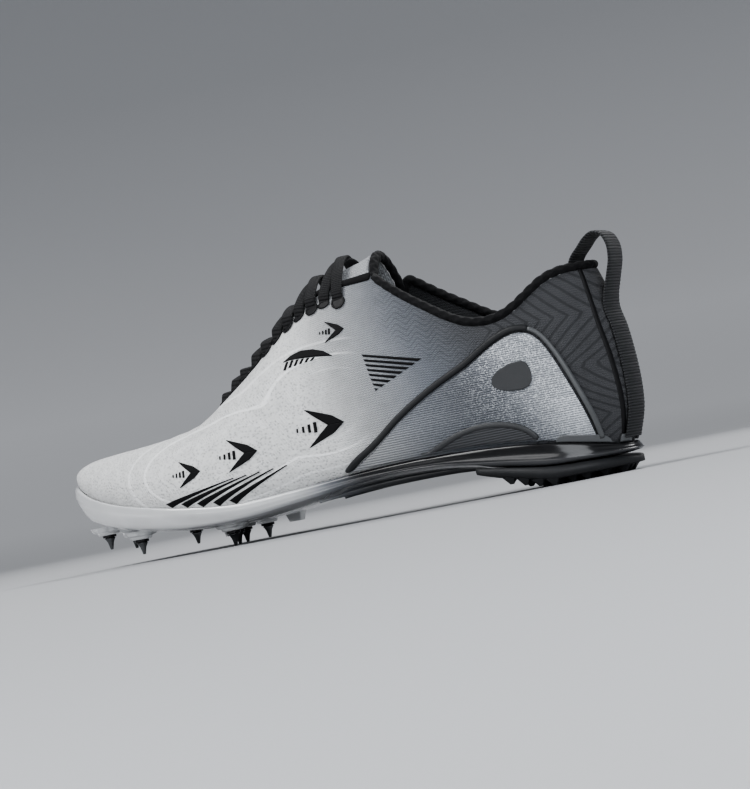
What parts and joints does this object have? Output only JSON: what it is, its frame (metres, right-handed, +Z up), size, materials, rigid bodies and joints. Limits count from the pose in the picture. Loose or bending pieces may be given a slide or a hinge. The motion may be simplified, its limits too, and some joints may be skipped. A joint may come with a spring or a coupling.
{
  "type": "track spike shoe",
  "caption": "Left sprint shoe standing on pointed metal spikes and a lugged heel pad: stiff sole plate, hollow mesh upper open at the collar, lacing, heel pull loop.",
  "frame": {"origin": "middle of the bounding box on the floor, z = 0 at the tips of the spikes and lugs it stands on", "axes": "+X towards the heel, +Z up, -Y towards the outer (lateral) side of the left foot"},
  "size_m": [0.2801, 0.0957, 0.117],
  "materials": {
    "upper_mesh": "knitted mesh, matt",
    "sole_plate": "clear to smoked, glossy",
    "spike_steel": "bright",
    "heel_rubber": "matt",
    "sock_liner": "matt",
    "tongue_mesh": "matt",
    "collar_knit": "matt",
    "quarter_film": "silver reflective, fine ribs",
    "piping": "satin",
    "wing_film": "glossy",
    "heel_tape": "ribbed, matt",
    "lace": "matt"
  },
  "bodies": {
    "root": {"upper": "upper_mesh", "outsole_plate": "sole_plate", "spike_1": "spike_steel", "spike_2": "spike_steel", "spike_3": "spike_steel", "spike_4": "spike_steel", "spike_5": "spike_steel", "spike_6": "spike_steel", "spike_7": "spike_steel", "spike_8": "spike_steel", "heel_pad": "heel_rubber", "insole": "sock_liner", "tongue": "tongue_mesh", "collar_binding": "collar_knit", "quarter_panel_lateral": "quarter_film", "quarter_piping_lateral": "piping", "waist_wing_lateral": "wing_film", "quarter_panel_medial": "quarter_film", "quarter_piping_medial": "piping", "waist_wing_medial": "wing_film", "heel_tape": "heel_tape", "lace_bar": "lace", "lace_crossing_1": "lace", "lace_crossing_2": "lace", "lace_crossing_3": "lace", "lace_crossing_4": "lace", "lace_crossing_5": "lace"}
  },
  "joints": []
}
